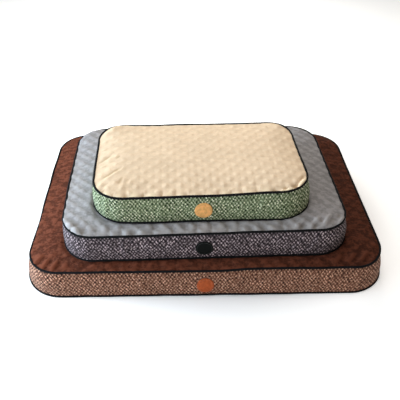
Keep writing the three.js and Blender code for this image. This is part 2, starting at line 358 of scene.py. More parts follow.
def plush(bed, colour, nap, sheen, turn, patchy, flecked, dotted, painted_side_light):
    """Short-pile plush with raised dots: patches of nap, fine streaks and pile grain, with painted
    shade in creases, painted highlight on ridges and painted light brighter on one side.

    nap is how far the tone strays, turn and patchy how the patches lie, flecked and dotted how
    much flecks and dots show, and the last the painted light and shade: a factor on the tone at
    the left and at the right.
    """
    seed, shade, ridge_highlight, longer = [BEDS[bed][key] for key in ("seed", "shade", "ridge_highlight", "longer")]
    look = Look(
        f"{bed}_plush", 0.85, Sheen_Weight=sheen, Sheen_Roughness=0.35,
        Sheen_Tint=(*scaled(colour, 1.6), 1), Specular_IOR_Level=0.1,
    )
    place = look.add("Mapping", Vector=look.flat, Location=(seed, seed, 0)).outputs["Vector"]
    patches = look.noise(place, patchy, 3.0, 0.8, turn)
    streaks = look.noise(place, STREAKS, 2.0, 0.5, turn)
    flecks = look.noise(place, 130.0, 3.0)
    pile = look.noise(place, 900.0, 1.0)
    dots = dot_mask(look, longer)
    share = look.math("MULTIPLY_ADD", streaks, 0.4, look.times(patches, 0.6))
    share = look.math("MULTIPLY_ADD", look.math("SUBTRACT", flecks, 0.5), flecked, share)
    share = look.math("MULTIPLY_ADD", look.math("SUBTRACT", dots, 0.3), dotted, share)
    tone = look.shades(share, 0.36, 0.64, colour, 1 - nap, 1 + nap)
    tone = look.sink(tone, pile, 0.35, 0.6, 0.16, scaled(colour, 0.5))
    # Painted shade darkens the pile in the relief's creases, and painted highlight lightens it on
    # ridges.
    relief = look.attribute("relief").outputs["Fac"]
    crease_shade = tuple(c * kept for c, kept in zip(colour, SHADED_CREASE_KEEPS))
    tone = look.sink(tone, relief, -1.0, 0.0, shade, crease_shade)
    tone = look.mix(look.ease(relief, 0.0, 1.0, 0.0, ridge_highlight), tone, scaled(colour, 1.4))
    # Painted light and shade: the tone is scaled from the left factor to the right one across the top,
    # as the lamps fall on it.
    side = look.ease(look.axes(look.flat)[0], -0.55, 0.55, *painted_side_light)
    lit = look.add("VectorMath", "SCALE", Scale=side)
    look.put(lit.inputs[0], tone)
    look.finish(
        lit.outputs["Vector"], (dots, 0.7, 0.5), (patches, 1.2, 0.35), (streaks, 0.8, 0.45),
        (flecks, 0.5, 0.5), (pile, 0.35, 0.5),
    )


def weave(look, pitch):
    """Plain weave: threads over and under each other, pitch apart."""
    axes = look.axes(look.flat)
    waves = [look.math("SINE", look.times(axes[k], math.tau / pitch)) for k in (0, 1)]
    return look.math("MULTIPLY_ADD", look.times(*waves), 0.5, 0.5)


def canvas(name, ground, stroke, dot, seed):
    """Printed canvas: short slanting strokes with dark dots between them, in staggered rows."""
    look = Look(name, 0.8, Sheen_Weight=0.03, Sheen_Roughness=0.5, Specular_IOR_Level=0.15)
    wander = look.add("TexNoise", Vector=look.flat, Scale=50.0, Detail=2.0).outputs["Color"]
    drawn = look.add("VectorMath")
    look.put(drawn.inputs[0], look.flat)
    look.put(drawn.inputs[1], look.stretched(wander, (PRINT_WANDER, PRINT_WANDER, 0)))
    slants = slanting(look, drawn.outputs["Vector"], PRINT_WIDTH, PRINT_HEIGHT)

    # Each cell holds one stroke, moved and faded by chance; x and y run along the cell's sides.
    (x, column), (y, row) = [offset(look, slant, "FLOOR") for slant in slants]
    chance = look.chance(column, row, seed)
    jitter = look.axes(chance["Color"])
    moves = [look.math("MULTIPLY_ADD", jitter[k], 0.5, -0.25) for k in (0, 1)]
    x, y = [look.math("ABSOLUTE", look.math("SUBTRACT", at, by)) for at, by in zip((x, y), moves)]
    leans_back = look.math("LESS_THAN", chance["Value"], LEAN_BACK)
    turned = look.times(leans_back, look.math("SUBTRACT", y, x))
    along, off = look.math("SUBTRACT", y, turned), look.math("ADD", x, turned)
    beyond = look.math("MAXIMUM", look.math("SUBTRACT", along, 0.13), 0.0)
    strokes = look.ease(distance(look, off, beyond), 0.16, 0.27, 1.0, 0.0)
    strokes = look.times(strokes, look.ease(jitter[2], 0.0, 1.0, 0.35, 1.15), clamp=True)
    speck = look.ease(look.noise(look.flat, 230.0, 1.0), 0.36, 0.60)
    strokes = look.times(strokes, look.math("MULTIPLY_ADD", speck, 0.9, 0.35), clamp=True)

    # A dot of chance size lies where four cells meet.
    (a, nearest), (b, other) = [offset(look, slant, "ROUND") for slant in slants]
    size = look.chance(nearest, other, seed)["Value"]
    reach = look.times(distance(look, a, b), look.ease(size, 0.0, 1.0, 1.9, 0.75))
    dots = look.ease(reach, 0.20, 0.32, 1.0, 0.0)
    faded = look.noise(look.flat, 18.0, 2.0)
    worn = look.mix(speck, scaled(ground, 0.6), scaled(ground, 1.25))
    tone = look.mix(strokes, worn, look.shades(faded, 0.35, 0.65, stroke, 0.82, 1.12))
    tone = look.mix(dots, tone, dot)
    threads = weave(look, 1.1 * MM)
    tone = look.mix(look.times(threads, 0.22), tone, scaled(ground, 0.55))
    look.finish(
        tone, (look.noise(look.flat, 90.0, 2.0), 0.8, 0.3), (strokes, 0.2, 0.4), (threads, 0.25, 0.6)
    )


def plain_cloth(name, colour, pitch):
    """One-colour woven cloth or tape with a little wear."""
    look = Look(name, 0.85, Sheen_Weight=0.02, Sheen_Roughness=0.5, Specular_IOR_Level=0.15)
    threads = weave(look, pitch)
    tone = look.shades(look.noise(look.space, 35.0, 3.0), 0.4, 0.7, colour, 1.0, 1.5)
    tone = look.mix(look.times(threads, 0.3), tone, scaled(colour, 0.5))
    look.finish(tone, (threads, 0.3, 0.7))


def base_cloth(name):
    """Non-slip base cloth: charcoal weave with rubber grip dots."""
    look = Look(name, 0.8, Specular_IOR_Level=0.3)
    axes = look.axes(look.flat)
    waves = [look.math("SINE", look.times(axes[k], math.pi / GRIP_PITCH)) for k in (0, 1)]
    grips = look.ease(look.math("ABSOLUTE", look.times(*waves)), 0.78, 0.86)
    threads = weave(look, 1.4 * MM)
    tone = look.mix(look.times(threads, 0.5), (0.030, 0.029, 0.030), (0.014, 0.014, 0.015))
    tone = look.mix(grips, tone, (0.008, 0.008, 0.008))
    look.put(look.shader.inputs["Roughness"], look.ease(grips, 0.0, 1.0, 0.85, 0.5))
    look.finish(tone, (threads, 0.3, 0.6), (grips, 0.8, 0.8))


def foam(name, colour, cell):
    """Open-cell foam: pores, and uneven yellowing."""
    look = Look(name, 0.95, Specular_IOR_Level=0.2)
    pores = look.cells(1 / cell)
    tone = look.shades(look.noise(look.space, 7.0, 2.0), 0.3, 0.7, colour, 1.0, 0.86)
    tone = look.sink(tone, pores, 0.05, 0.5, 0.45, scaled(colour, 0.45))
    look.finish(tone, (pores, 0.6, 0.8))


def patch(name, colour):
    """Brushed leather-like patch with pores and rubbed high spots."""
    look = Look(name, 0.7, Specular_IOR_Level=0.1)
    grain = look.cells(700.0)
    rubbed = look.noise(look.space, 120.0, 3.0)
    tone = look.shades(rubbed, 0.35, 0.65, colour, 0.85, 1.12)
    tone = look.sink(tone, grain, 0.1, 0.5, 0.25, scaled(colour, 0.5))
    look.finish(tone, (grain, 0.25, 0.5), (rubbed, 0.4, 0.3))


def coil(name):
    look = Look(name, 0.4, Specular_IOR_Level=0.5)
    worn = look.noise(look.space, 400.0, 2.0)
    look.finish(look.mix(worn, (0.012, 0.012, 0.013), (0.03, 0.03, 0.032)), (worn, 0.1, 0.4))


def metal(name):
    """Antique nickel with tarnish and fine scratches."""
    look = Look(name, 0.34, Metallic=1.0)
    tarnish = look.noise(look.space, 450.0, 3.0)
    scratches = look.noise(look.space, (150, 2600, 900), 2.0)
    look.put(look.shader.inputs["Roughness"], look.ease(tarnish, 0.35, 0.7, 0.28, 0.5))
    look.finish(
        look.mix(look.ease(tarnish, 0.35, 0.75), (0.40, 0.385, 0.36), (0.25, 0.235, 0.22)),
        (scratches, 0.05, 0.5),
    )


def thread(name, colour):
    """Twisted sewing thread."""
    look = Look(name, 0.6, Sheen_Weight=0.3)
    twist = look.noise(look.space, (700, 2400, 2400), 1.0, turn=0.6)
    look.finish(look.mix(twist, scaled(colour, 0.7), scaled(colour, 1.2)), (twist, 0.15, 0.6))


MATERIALS = {}
STREAKS = (30, 62, 30)    # fine streaks of nap, per metre
SHADED_CREASE_KEEPS = (0.55, 0.45, 0.32)  # share of the pile's red, green and blue left in the painted shade of a crease
GRIP_PITCH = 8 * MM
plush(
    "large", (0.109, 0.032, 0.0165), nap=0.40, sheen=0.12, turn=0.6, patchy=(34, 44, 34),
    flecked=0.65, dotted=0.08, painted_side_light=(1.28, 0.76),
)
plush(
    "medium", (0.322, 0.303, 0.302), nap=0.17, sheen=0.2, turn=0.75, patchy=(24, 36, 24),
    flecked=0.45, dotted=0.17, painted_side_light=(1.04, 0.93),
)
plush(
    "small", (0.79, 0.60, 0.415), nap=0.05, sheen=0.1, turn=0.3, patchy=(9, 16, 9),
    flecked=0.5, dotted=0.05, painted_side_light=(0.97, 1.08),
)
canvas("large_canvas", (0.20, 0.085, 0.051), (0.82, 0.48, 0.32), (0.022, 0.008, 0.005), 11.0)
canvas("medium_canvas", (0.06, 0.044, 0.049), (0.66, 0.53, 0.55), (0.003, 0.002, 0.0025), 22.0)
canvas("small_canvas", (0.160, 0.205, 0.105), (0.92, 0.98, 0.66), (0.010, 0.020, 0.008), 33.0)
patch("large_patch", (0.45, 0.094, 0.0275))
patch("medium_patch", (0.003, 0.0042, 0.0035))
patch("small_patch", (0.84, 0.43, 0.148))
plain_cloth("piping_black", (0.003, 0.003, 0.0035), 0.9 * MM)
plain_cloth("zip_tape", (0.012, 0.012, 0.013), 0.8 * MM)
base_cloth("base_cloth")
foam("foam_core", (0.72, 0.66, 0.46), 1.6 * MM)
foam("foam_memory", (0.55, 0.62, 0.66), 1.1 * MM)
coil("zip_coil")
metal("zip_metal")
thread("thread_dark", (0.02, 0.02, 0.022))
thread("large_thread", (0.42, 0.12, 0.05))
thread("medium_thread", (0.02, 0.022, 0.02))
thread("small_thread", (0.70, 0.42, 0.18))


# ---- Each bed's place and size, from the CAD frame --------------------------------------
def place_of(name):
    """Where a bed's own axes lie in the frame; its zip runs along its back."""
    run = next(j for j in frame["joints"] if j["name"] == f"{name}_zip_run")
    turn = math.atan2(-run["axis"][1], -run["axis"][0])
    low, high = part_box(f"{name}_bottom_panel")
    centre = (low + high) / 2
    return Matrix.Translation((centre.x, centre.y, low.z)) @ Matrix.Rotation(turn, 4, "Z")


def local_box(bed, part):
    """Lowest and highest corner of a bed's CAD piece in the bed's own axes."""
    to_bed = bed["place"].inverted()
    node = frame["nodes"][f"{bed['name']}_{part}"]
    points = np.array([to_bed @ v.co for v in node.data.vertices])
    return points.min(0), points.max(0)


def measure_beds():
    for name, bed in BEDS.items():
        bed["name"] = name
        bed["place"] = place_of(name)
        low, high = local_box(bed, "top_piping")
        bed["half"] = high[:2] - PIPING_RADIUS
        bed["top_seam"] = (low[2] + high[2]) / 2
        low, high = local_box(bed, "bottom_piping")
        bed["flare"] = high[0] - PIPING_RADIUS - bed["half"][0]
        bed["bottom_seam"] = (low[2] + high[2]) / 2
        bed["top"] = local_box(bed, "top_panel")[1][2]
        bed["zip_low"] = local_box(bed, "zip_tape_lower")[0][2]
        bed["zip_high"] = local_box(bed, "zip_tape_upper")[1][2]
        bed["zip_middle"] = (bed["zip_low"] + bed["zip_high"]) / 2


# ---- Outline ----------------------------------------------------------------------------
def stations(straight, arc, cell):
    """Distances along one side, from the middle of one corner to the middle of the next."""
    bend = np.linspace(0, arc, CORNER_CELLS + 1)
    run = np.linspace(arc, arc + straight, max(2, round(straight / cell)) + 1)
    return np.concatenate([bend[:-1], run, arc + straight + bend[1:]])


def side_points(bed, side, finer=1):
    """Points, outward normals and distances along one side; 0 front, 1 right, 2 back, 3 left."""
    along, across = bed["half"] if side % 2 == 0 else bed["half"][::-1]
    r, arc = bed["corner"], bed["corner"] * math.pi / 4
    straight = 2 * (along - r)
    s = stations(straight, arc, bed["cell"])
    if finer > 1:
        s = np.interp(np.arange((len(s) - 1) * finer + 1) / finer, np.arange(len(s)), s)
    angle = np.clip(s, 0, arc) / r + np.clip(s - arc - straight, 0, arc) / r - 3 * math.pi / 4
    normal = np.stack([np.cos(angle), np.sin(angle)], 1)
    centre = np.stack([np.clip(s - arc, 0, straight) - along + r, np.full(len(s), r - across)], 1)
    point = centre + r * normal
    c, k = [(1, 0), (0, 1), (-1, 0), (0, -1)][side]
    turn = np.array([[c, k], [-k, c]])
    return point @ turn, normal @ turn, s


def ring_points(bed, finer=1):
    """The whole outline anticlockwise from the front left corner: points, normals, distances."""
    parts, start = [], 0.0
    for side in range(4):
        points, normals, distances = side_points(bed, side, finer)
        parts.append((points[:-1], normals[:-1], start + distances[:-1]))
        start += distances[-1]
    return [np.concatenate(part) for part in zip(*parts)]


def ring_length(bed):
    return sum(side_points(bed, side)[2][-1] for side in range(4))


def smooth_noise(x, y, z):
    """Smooth noise from -1 to 1 at each place; x, y and z are lists or single numbers."""
    return np.array([noise.noise(Vector(place)) for place in np.broadcast(x, y, z)])


def wave(points, seed, reach):
    """Smooth noise in plan, with bumps about reach apart."""
    return smooth_noise(points[:, 0] / reach, points[:, 1] / reach, seed)


def ridge(off, width):
    """1 on a line, fading away on both sides of it."""
    return np.exp(-((off / width) ** 2))


def mound(points, x, y, radius):
    """1 at a place in plan, fading away round it."""
    return ridge(np.linalg.norm(points[:, :2] - (x, y), axis=1), radius)


def rise(values, width):
    """From 0 to 1 while the values go from 0 to the width."""
    return np.clip(values / width, 0, 1)


def seam_shift(bed, points, level):
    """How far a hand-sewn seam wanders out and up from its true line; level 0 top, 1 bottom."""
    seed = bed["seed"] * 7 + level
    out = SEAM_WANDER[0] * wave(points, seed, SEAM_SWING[0])
    for x, y, radius, *drawn_in in np.array(bed["drawn"]) * MM:
        out -= drawn_in[level] * mound(points, x, y, radius)
    start, end, height = np.array(bed["climb"]) * MM
    share = rise(points[:, 0] - start, end - start)
    climb = height * (share * share * (3 - 2 * share) - 0.5)
    front = np.clip(0.5 - points[:, 1] / bed["half"][1], 0, 1)
    up = SEAM_WANDER[1] * wave(points, seed + 31, SEAM_SWING[1]) + climb * front**3
    return out, up * (1 - level)


def seam_line(bed, level, finer=1):
    """The top seam (level 0) or bottom seam (level 1) as points in space, with normals."""
    points, normals, distances = ring_points(bed, finer)
    out, up = seam_shift(bed, points, level)
    place = points + normals * (out + level * bed["flare"])[:, None]
    height = (bed["bottom_seam"] if level else bed["top_seam"]) + up
    return np.column_stack([place, height]), normals, distances


# ---- Bed shell --------------------------------------------------------------------------
def grid_shape(bed):
    return len(side_points(bed, 0)[2]) - 1, len(side_points(bed, 1)[2]) - 1


def edge_numbers(bed):
    """Numbers of the outline's points in the flattened grid, in the outline's order."""
    nx, ny = grid_shape(bed)
    number = np.arange((nx + 1) * (ny + 1)).reshape(nx + 1, ny + 1)
    return np.concatenate([number[:-1, 0], number[-1, :-1], number[:0:-1, -1], number[0, :0:-1]])


def grid_quads(rows, columns, closed=(False, False)):
    """Quads between neighbouring points of a grid, which may close on itself in each direction."""
    i = np.arange(rows if closed[0] else rows - 1)[:, None]
    j = np.arange(columns if closed[1] else columns - 1)[None]
    here, after, beside = i * columns, (i + 1) % rows * columns, (j + 1) % columns
    quads = np.broadcast_arrays(here + j, after + j, after + beside, here + beside)
    return np.stack(quads, -1).reshape(-1, 4)


def closed_body(bed, upper, lower, rows):
    """Vertices, loops of vertex numbers and quads of a body between two sheets.

    The rows are rings of points round its sides, from the top down.
    """
    count, edge = len(upper), edge_numbers(bed)
    loops = [edge, *(2 * count + k * len(edge) + np.arange(len(edge)) for k in range(len(rows)))]
    loops.append(edge + count)
    nx, ny = grid_shape(bed)
    sheet = grid_quads(nx + 1, ny + 1)
    quads = [sheet, sheet[:, ::-1] + count]
    for high, low in zip(loops[:-1], loops[1:]):
        quads.append(np.stack([high, low, np.roll(low, -1), np.roll(high, -1)], 1))
    return np.concatenate([upper, lower, *rows]), np.array(loops), np.concatenate(quads)


def fill_grid(bed, ring):
    """A sheet of points inside a closed ring of points, evened out in plan."""
    nx, ny = grid_shape(bed)
    edge = edge_numbers(bed)
    rows = np.zeros(((nx + 1) * (ny + 1), ring.shape[1]))
    rows[edge] = ring
    grid = rows.reshape(nx + 1, ny + 1, -1)
    u, v = side_points(bed, 0)[2], side_points(bed, 1)[2]
    u, v = (u / u[-1])[:, None, None], (v / v[-1])[None, :, None]
    front, back = grid[:, :1], grid[:, -1:]
    left, right = grid[:1], grid[-1:]
    corners = (
        (1 - u) * (1 - v) * grid[0, 0]
        + u * (1 - v) * grid[-1, 0]
        + (1 - u) * v * grid[0, -1]
        + u * v * grid[-1, -1]
    )
    filled = (1 - v) * front + v * back + (1 - u) * left + u * right - corners
    filled.reshape(-1, ring.shape[1])[edge] = ring
    for _ in range(EVENING_ROUNDS):
        filled[1:-1, 1:-1] = (
            filled[:-2, 1:-1] + filled[2:, 1:-1] + filled[1:-1, :-2] + filled[1:-1, 2:]
        ) / 4
    return filled.reshape(-1, ring.shape[1])


def rounded_distance(points, half, corner):
    """Signed distance in plan to a rounded rectangle round the origin, below zero inside."""
    q = np.abs(points[:, :2]) - (half - corner)
    outside = np.linalg.norm(np.maximum(q, 0), axis=1)
    return outside + np.minimum(np.maximum(q[:, 0], q[:, 1]), 0) - corner


def plush_height(bed, points):
    """Height of the plush over the seam: a quick rise, then nearly flat."""
    inset = np.maximum(-rounded_distance(points, bed["half"], bed["corner"]), 0)
    return PUFF * (1 - np.exp(-inset / PUFF_RISE))


def band_levels(bed):
    """Heights of the rows of the band; one row lies on each edge of the zip's opening."""
    top, bottom = bed["top_seam"], bed["bottom_seam"]
    upper = np.linspace(top, bed["zip_high"], UPPER_LEVELS + 1)
    lower = np.linspace(bed["zip_low"], bottom, BAND_LEVELS - UPPER_LEVELS - 1)
    return np.concatenate([upper, [bed["zip_middle"]], lower])


def back_stretch(bed):
    """First and last outline point of the straight back, where the zip is."""
    nx, ny = grid_shape(bed)
    return nx + ny + CORNER_CELLS, 2 * nx + ny - CORNER_CELLS


def shell(bed):
    """The closed cover before simulation: vertices, quads, pins, and the band's loops of vertices."""
    top_ring, normals, along = seam_line(bed, 0)
    bottom_ring = seam_line(bed, 1)[0]
    top, bottom = fill_grid(bed, top_ring), fill_grid(bed, bottom_ring)
    top[:, 2] += plush_height(bed, top)
    under = -rounded_distance(bottom, bed["half"] + bed["flare"], bed["corner"] + bed["flare"])
    bottom[:, 2] -= (bed["bottom_seam"] - BASE_HEIGHT) * rise(under, BASE_RISE)

    levels = band_levels(bed)
    share = (bed["top_seam"] - levels) / (bed["top_seam"] - bed["bottom_seam"])
    count, ring = len(top), len(along)
    back_start, back_end = back_stretch(bed)
    edge = np.minimum(np.arange(ring) - back_start, back_end - np.arange(ring))
    bulge = BAND_BULGE + (BACK_BULGE - BAND_BULGE) * rise(edge + BULGE_CELLS, BULGE_CELLS)
    rows = [
        top_ring * (1 - t)
        + bottom_ring * t
        + np.column_stack([normals * (bulge * math.sin(math.pi * t))[:, None], np.zeros(ring)])
        for t in share[1:-1]
    ]
    vertices, loops, quads = closed_body(bed, top, bottom, rows)
    pins = np.zeros(len(vertices))
    pins[count : 2 * count] = 1
    pins[loops[0]] = 1
    pins[loops[UPPER_LEVELS : UPPER_LEVELS + 3][:, edge >= 0]] = 1
    return {
        "vertices": vertices,
        "quads": quads,
        "pins": pins,
        "loops": loops,
        "levels": levels,
        "along": along,
        "count": count,
    }


# ---- Cloth simulation -------------------------------------------------------------------
def mesh_object(name, vertices, faces):
    mesh = bpy.data.meshes.new(name)
    mesh.from_pydata([tuple(v) for v in vertices], [], [tuple(int(i) for i in f) for f in faces])
    mesh.update()
    piece = bpy.data.objects.new(name, mesh)
    bpy.context.scene.collection.objects.link(piece)
    return piece


def weigh(piece, name, weights):
    group = piece.vertex_groups.new(name=name)
    for index, weight in enumerate(weights):
        if weight > 0.001:
            group.add([index], float(weight), "REPLACE")


def simulate(bed, made):
    """Blows the cover up over its foam with some spare cloth at the seams; returns new vertices."""
    rest = made["vertices"]
    piece = mesh_object("cloth", rest, made["quads"])
    inset = -rounded_distance(rest, bed["half"], bed["corner"])
    gather = np.clip(1 - inset / GATHER_WIDTH, 0, 1) ** 1.5
    gather *= 0.55 + 0.45 * wave(rest, bed["seed"], GATHER_SWING)
    hold = np.maximum(made["pins"], HOLD * rise(inset, HOLD_WIDTH))
    weigh(piece, "hold", hold)
    weigh(piece, "gather", gather)
    cloth = piece.modifiers.new("cloth", "CLOTH")
    for key, value in CLOTH.items():
        setattr(cloth.settings, key, value)
    cloth.settings.effector_weights.gravity = 0
    cloth.collision_settings.use_collision = False
    scene = bpy.context.scene
    for step in range(1, CLOTH_FRAMES + 1):
        scene.frame_set(step)
    solved = piece.evaluated_get(bpy.context.evaluated_depsgraph_get())
    moved = np.array([v.co for v in solved.data.vertices])
    scene.frame_set(1)
    bpy.data.objects.remove(piece)
    step = moved - rest
    length = np.linalg.norm(step, axis=1, keepdims=True)
    return rest + step * np.tanh(length / CLOTH_CAP) * CLOTH_CAP / np.maximum(length, 1e-9)


# ---- Turning point grids into pieces ------------------------------------------------------
def set_flat(mesh, flat):
    """Keeps each point's place on the uncut cloth, in metres, for the materials."""
    layer = mesh.attributes.new("flat", "FLOAT_VECTOR", "POINT")
    padded = np.zeros((len(flat), 3))
    padded[:, : flat.shape[1]] = flat
    layer.data.foreach_set("vector", padded.ravel())


def vectors(items, key):
    """One vector of each item of a mesh, as rows."""
    values = np.zeros(len(items) * 3)
    items.foreach_get(key, values)
    return values.reshape(-1, 3)


def flat_of(mesh):
    return vectors(mesh.attributes["flat"].data, "vector")


def move_to(mesh, points):
    mesh.vertices.foreach_set("co", points.ravel())
    mesh.update()


def smooth(mesh):
    mesh.polygons.foreach_set("use_smooth", np.ones(len(mesh.polygons), bool))
    mesh.update()


def sheet_piece(bed, label, points, flat):
    """A sheet from a grid of points, subdivided once; its normals follow rows cross columns."""
    rows, columns = points.shape[:2]
    quads = grid_quads(rows, columns)
    piece = mesh_object(f"{bed['name']}_{label}", points.reshape(-1, 3), quads)
    set_flat(piece.data, flat.reshape(rows * columns, -1))
    refine = piece.modifiers.new("refine", "SUBSURF")
    refine.levels = refine.render_levels = 1
    refine.boundary_smooth = "PRESERVE_CORNERS"
    graph = bpy.context.evaluated_depsgraph_get()
    mesh = bpy.data.meshes.new_from_object(piece.evaluated_get(graph))
    piece.modifiers.clear()
    piece.data = mesh
    smooth(mesh)
    return piece


def finish_piece(piece, bed, look, *nodes, slot=None):
    """Places a bed's piece in the pile, gives it its look and hides the CAD nodes it stands for."""
    piece.data.transform(bed["place"])
    piece.data.materials.append(MATERIALS[look])
    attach(piece, f"{bed['name']}_bed")
    if nodes:
        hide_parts(*[f"{bed['name']}_{node}" for node in nodes])


def solid_piece(bed, label, points, faces, look, *nodes, slot=None):
    """A closed piece, smooth and finished."""
    piece = mesh_object(f"{bed['name']}_{label}", points, faces)
    smooth(piece.data)
    finish_piece(piece, bed, look, *nodes, slot=slot)
    return piece


def finish_sheet(piece, bed, look, node, thickness, cut):
    """Thickens and finishes a sheet, and hides the CAD node it stands for."""
    skin = piece.modifiers.new("thickness", "SOLIDIFY")
    skin.thickness = thickness
    skin.offset = -1
    skin.use_even_offset = False
    finish_piece(piece, bed, look, node)
    cut = tuple(float(side) for side in cut)


# ---- Surface shape of the cloth -----------------------------------------------------------
def puckers(along, inset, spacing, reach, seed):
    """Rounded bumps with sharp creases between them, fading away from a seam."""
    drift = smooth_noise(along / (3 * spacing), seed, 0)
    bump = np.abs(np.sin(math.pi * (along / spacing + 0.9 * drift))) ** 0.7 - 0.6
    strength = smooth_noise(along / (5 * spacing), seed, 9)
    envelope = (1 - np.exp(-inset / (0.18 * reach))) * np.exp(-inset / reach)
    return bump * envelope * np.clip(0.85 + 0.6 * strength, 0.5, 1.3)


def fold_field(points, folds):
    """Long soft folds in the cloth."""
    field = np.zeros(len(points))
    for x0, y0, x1, y1, width, height in np.array(folds) * MM:
        start, run = np.array([x0, y0]), np.array([x1 - x0, y1 - y0])
        length = np.linalg.norm(run)
        local = points[:, :2] - start
        share = local @ run / length**2
        off = (local[:, 0] * run[1] - local[:, 1] * run[0]) / length
        taper = rise(share, 0.25) * rise(1 - share, 0.25)
        field += height * taper * (ridge(off, width) - 0.5 * ridge(off - 1.6 * width, width))
    return field


def raised_dots(bed, flat):
    """Dots of pile in staggered rows: 1 in the middle of each, 0 between them."""
    slants = np.stack([flat[:, 0] + flat[:, 1], flat[:, 0] - flat[:, 1]], 1) / DOT_PITCH
    away = (slants - np.round(slants)) / bed["longer"]
    away = np.linalg.norm(away, axis=1) * DOT_PITCH / math.sqrt(2)
    return np.clip(1 - (away / DOT_RADIUS) ** 2, 0, 1) ** 1.5


def keep_under(bed, points):
    """Presses the top flat where the next bed lies on it, with a soft edge round it."""
    if not bed["under"]:
        return
    other = BEDS[bed["under"]]
    to_other = other["place"].inverted() @ bed["place"]
    turn = np.array(to_other.to_3x3())[:2, :2]
    local = points[:, :2] @ turn.T + np.array(to_other.translation)[:2]
    beyond = other["flare"] + PIPING_RADIUS
    away = rounded_distance(local, other["half"] + beyond, other["corner"] + beyond)
    limit = bed["top"] - HOLLOW_GAP + np.maximum(away + HOLLOW_LIP, 0) * HOLLOW_SLOPE
    points[:, 2] = np.minimum(points[:, 2], limit)


def nearest_along(bed, points):
    """Distance along the outline of the nearest outline point."""
    line, _, along = ring_points(bed, 2)
    found = np.zeros(len(points))
    for part in np.array_split(np.arange(len(points)), max(1, len(points) // 4000)):
        gap = ((points[part, None, :2] - line[None]) ** 2).sum(2)
        found[part] = along[gap.argmin(1)]
    return found


def shape_top(bed, piece):
    """Puckers along the seam, drag folds, raised dots and the slight unevenness of pile."""
    points = vectors(piece.data.vertices, "co")
    inset = np.maximum(-rounded_distance(points, bed["half"], bed["corner"]), 0)
    along = nearest_along(bed, points)
    from_front = points[:, 1] + bed["half"][1]
    near_front = np.maximum(rise(FRONT_STRIP - from_front, FRONT_FADE), BACK_PUCKERS)
    lift = bed["pucker"] * near_front * puckers(along, inset, DOT_PITCH, bed["reach"], bed["seed"])
    lift += fold_field(points, bed["folds"])
    for x, y, radius, height in np.array(bed["full"]) * MM:
        points[:, 2] += height * mound(points, x, y, radius) * (1 - np.exp(-inset / FULL_RISE))
    # The relief, in crease depths, feeds the plush's painted shade in creases and painted highlight on
    # ridges.
    relief = piece.data.attributes.new("relief", "FLOAT", "POINT")
    relief.data.foreach_set("value", (lift / CREASE_DEPTH).astype(np.float32))
    standing = np.maximum(np.exp(-inset / DOT_EDGE), ridge(from_front, 2 * DOT_EDGE))
    standing = bed["standing"] + (1 - bed["standing"]) * standing
    dots = raised_dots(bed, flat_of(piece.data)) * standing * rise(inset, DOT_START)
    lift += bed["dots"] * dots
    bumps, small_bumps = [wave(points, bed["seed"] + 50 + 10 * k, BUMPS[k]) for k in (0, 1)]
    lift += bed["uneven"] * (bumps + 0.5 * small_bumps) * rise(inset, BUMP_EDGE)
    points[:, 2] += lift
    keep_under(bed, points)
    move_to(piece.data, points)


def shape_band(bed, piece):
    """Small gathers under the top seam and over the bottom one, and slack folds between."""
    along, height, _ = flat_of(piece.data).T
    from_top = np.maximum(bed["top_seam"] - height, 0)
    from_bottom = np.maximum(height - bed["bottom_seam"], 0)
    seed = bed["seed"] + 20
    high, spacing, reach = TOP_GATHERS
    lift = high * puckers(along, from_top, spacing, reach, seed)
    high, spacing, reach = BOTTOM_GATHERS
    lift += high * puckers(along, from_bottom, spacing, reach, seed + 1)
    between = rise(from_top, SLACK_EDGE) * rise(from_bottom, SLACK_EDGE)
    whole = ring_length(bed)
    front = side_points(bed, 0)[2][-1]
    from_middle = (along + whole / 2) % whole - (whole + front) / 2
    lift += fold_field(np.column_stack([from_middle, height]), bed["creases"]) * between
    lift += BAND_SLACK * smooth_noise((along + 0.6 * height) * 14, height * 6, seed) * between
    mesh = piece.data
    move_to(mesh, vectors(mesh.vertices, "co") + vectors(mesh.vertex_normals, "vector") * lift[:, None])


# ---- Cover pieces --------------------------------------------------------------------------
def panels(bed, made, points):
    """The plush top and the base cloth."""
    nx, ny = grid_shape(bed)
    grid = np.arange(made["count"]).reshape(nx + 1, ny + 1)
    flat = made["vertices"][:, :2]
    askew = [wave(flat, bed["seed"] + shift, DOT_SWING) for shift in (70, 80)]
    flat = flat + DOT_WARP * np.stack(askew, 1)
    top = sheet_piece(bed, "plush_top", points[grid], flat[grid])
    shape_top(bed, top)
    cut = 2 * bed["half"]
    finish_sheet(top, bed, f"{bed['name']}_plush", "top_panel", PLUSH_THICKNESS, cut)

    turned = (grid + made["count"])[:, ::-1]
    under = sheet_piece(bed, "base_cloth", points[turned], flat[turned])
    cut = 2 * (bed["half"] + bed["flare"])
    finish_sheet(under, bed, "base_cloth", "bottom_panel", BASE_THICKNESS, cut)


